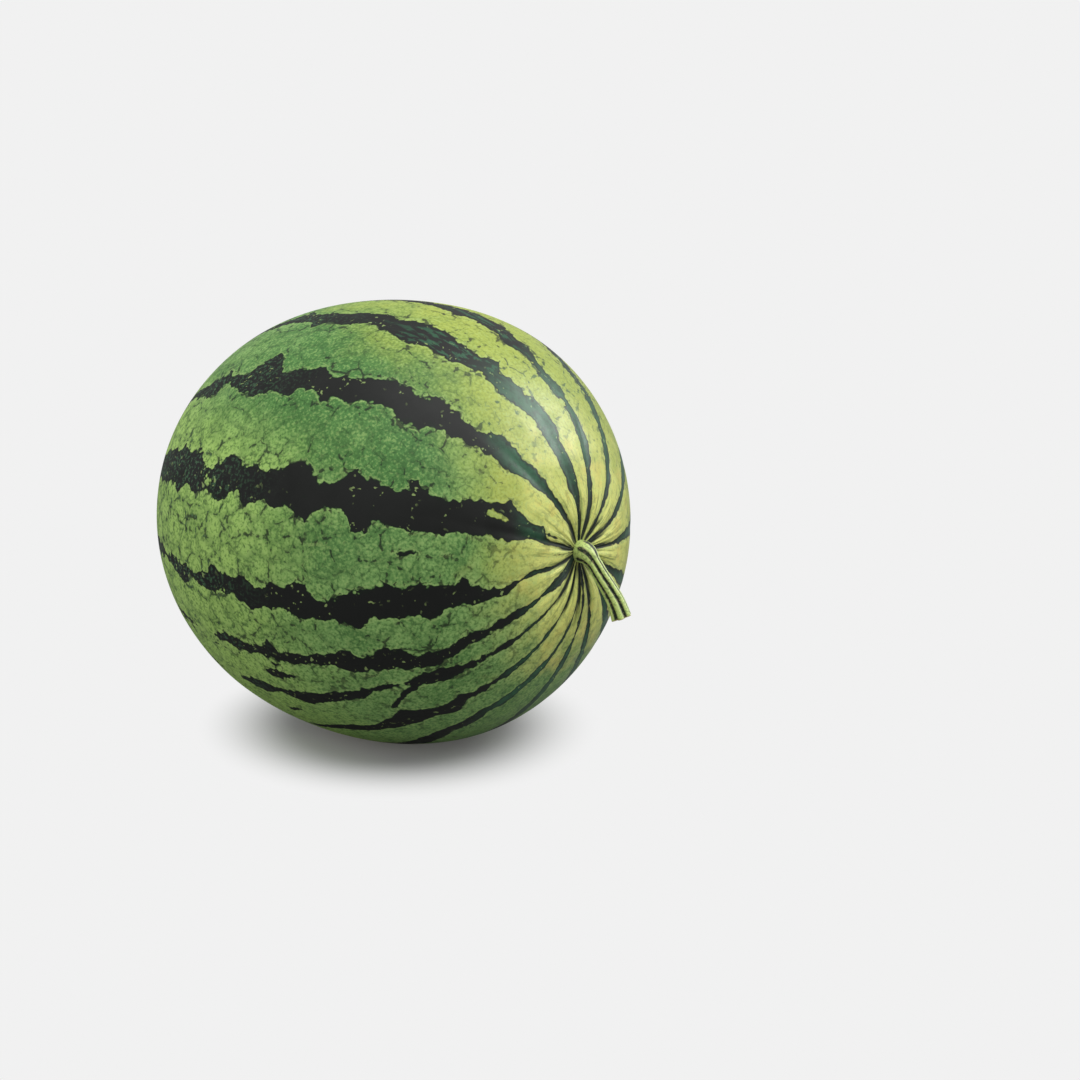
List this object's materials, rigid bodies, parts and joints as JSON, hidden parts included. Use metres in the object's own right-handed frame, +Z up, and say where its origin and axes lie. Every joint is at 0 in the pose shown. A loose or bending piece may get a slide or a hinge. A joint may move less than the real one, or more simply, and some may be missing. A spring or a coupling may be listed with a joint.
{
  "type": "watermelon",
  "caption": "Whole round watermelon lying on its side, with dark jagged stripes on a mottled green rind and a short ribbed stem stump, resting on a small flat spot.",
  "frame": {"origin": "the middle of the flat spot on the fruit's belly, on the surface that it rests on", "axes": "+Z up, +X towards the stem end, which lies about 3 degrees higher than the blossom end, +Y across the fruit"},
  "size_m": [0.282, 0.2364, 0.2347],
  "materials": {
    "rind": "waxy rind, satin to half gloss, dark green jagged stripes on a mottled yellow-green ground",
    "stem": "half-dry ribbed stem, matte, yellow-green ribs with dark grooves"
  },
  "bodies": {
    "root": {"fruit": "rind", "stem": "stem"}
  },
  "joints": []
}
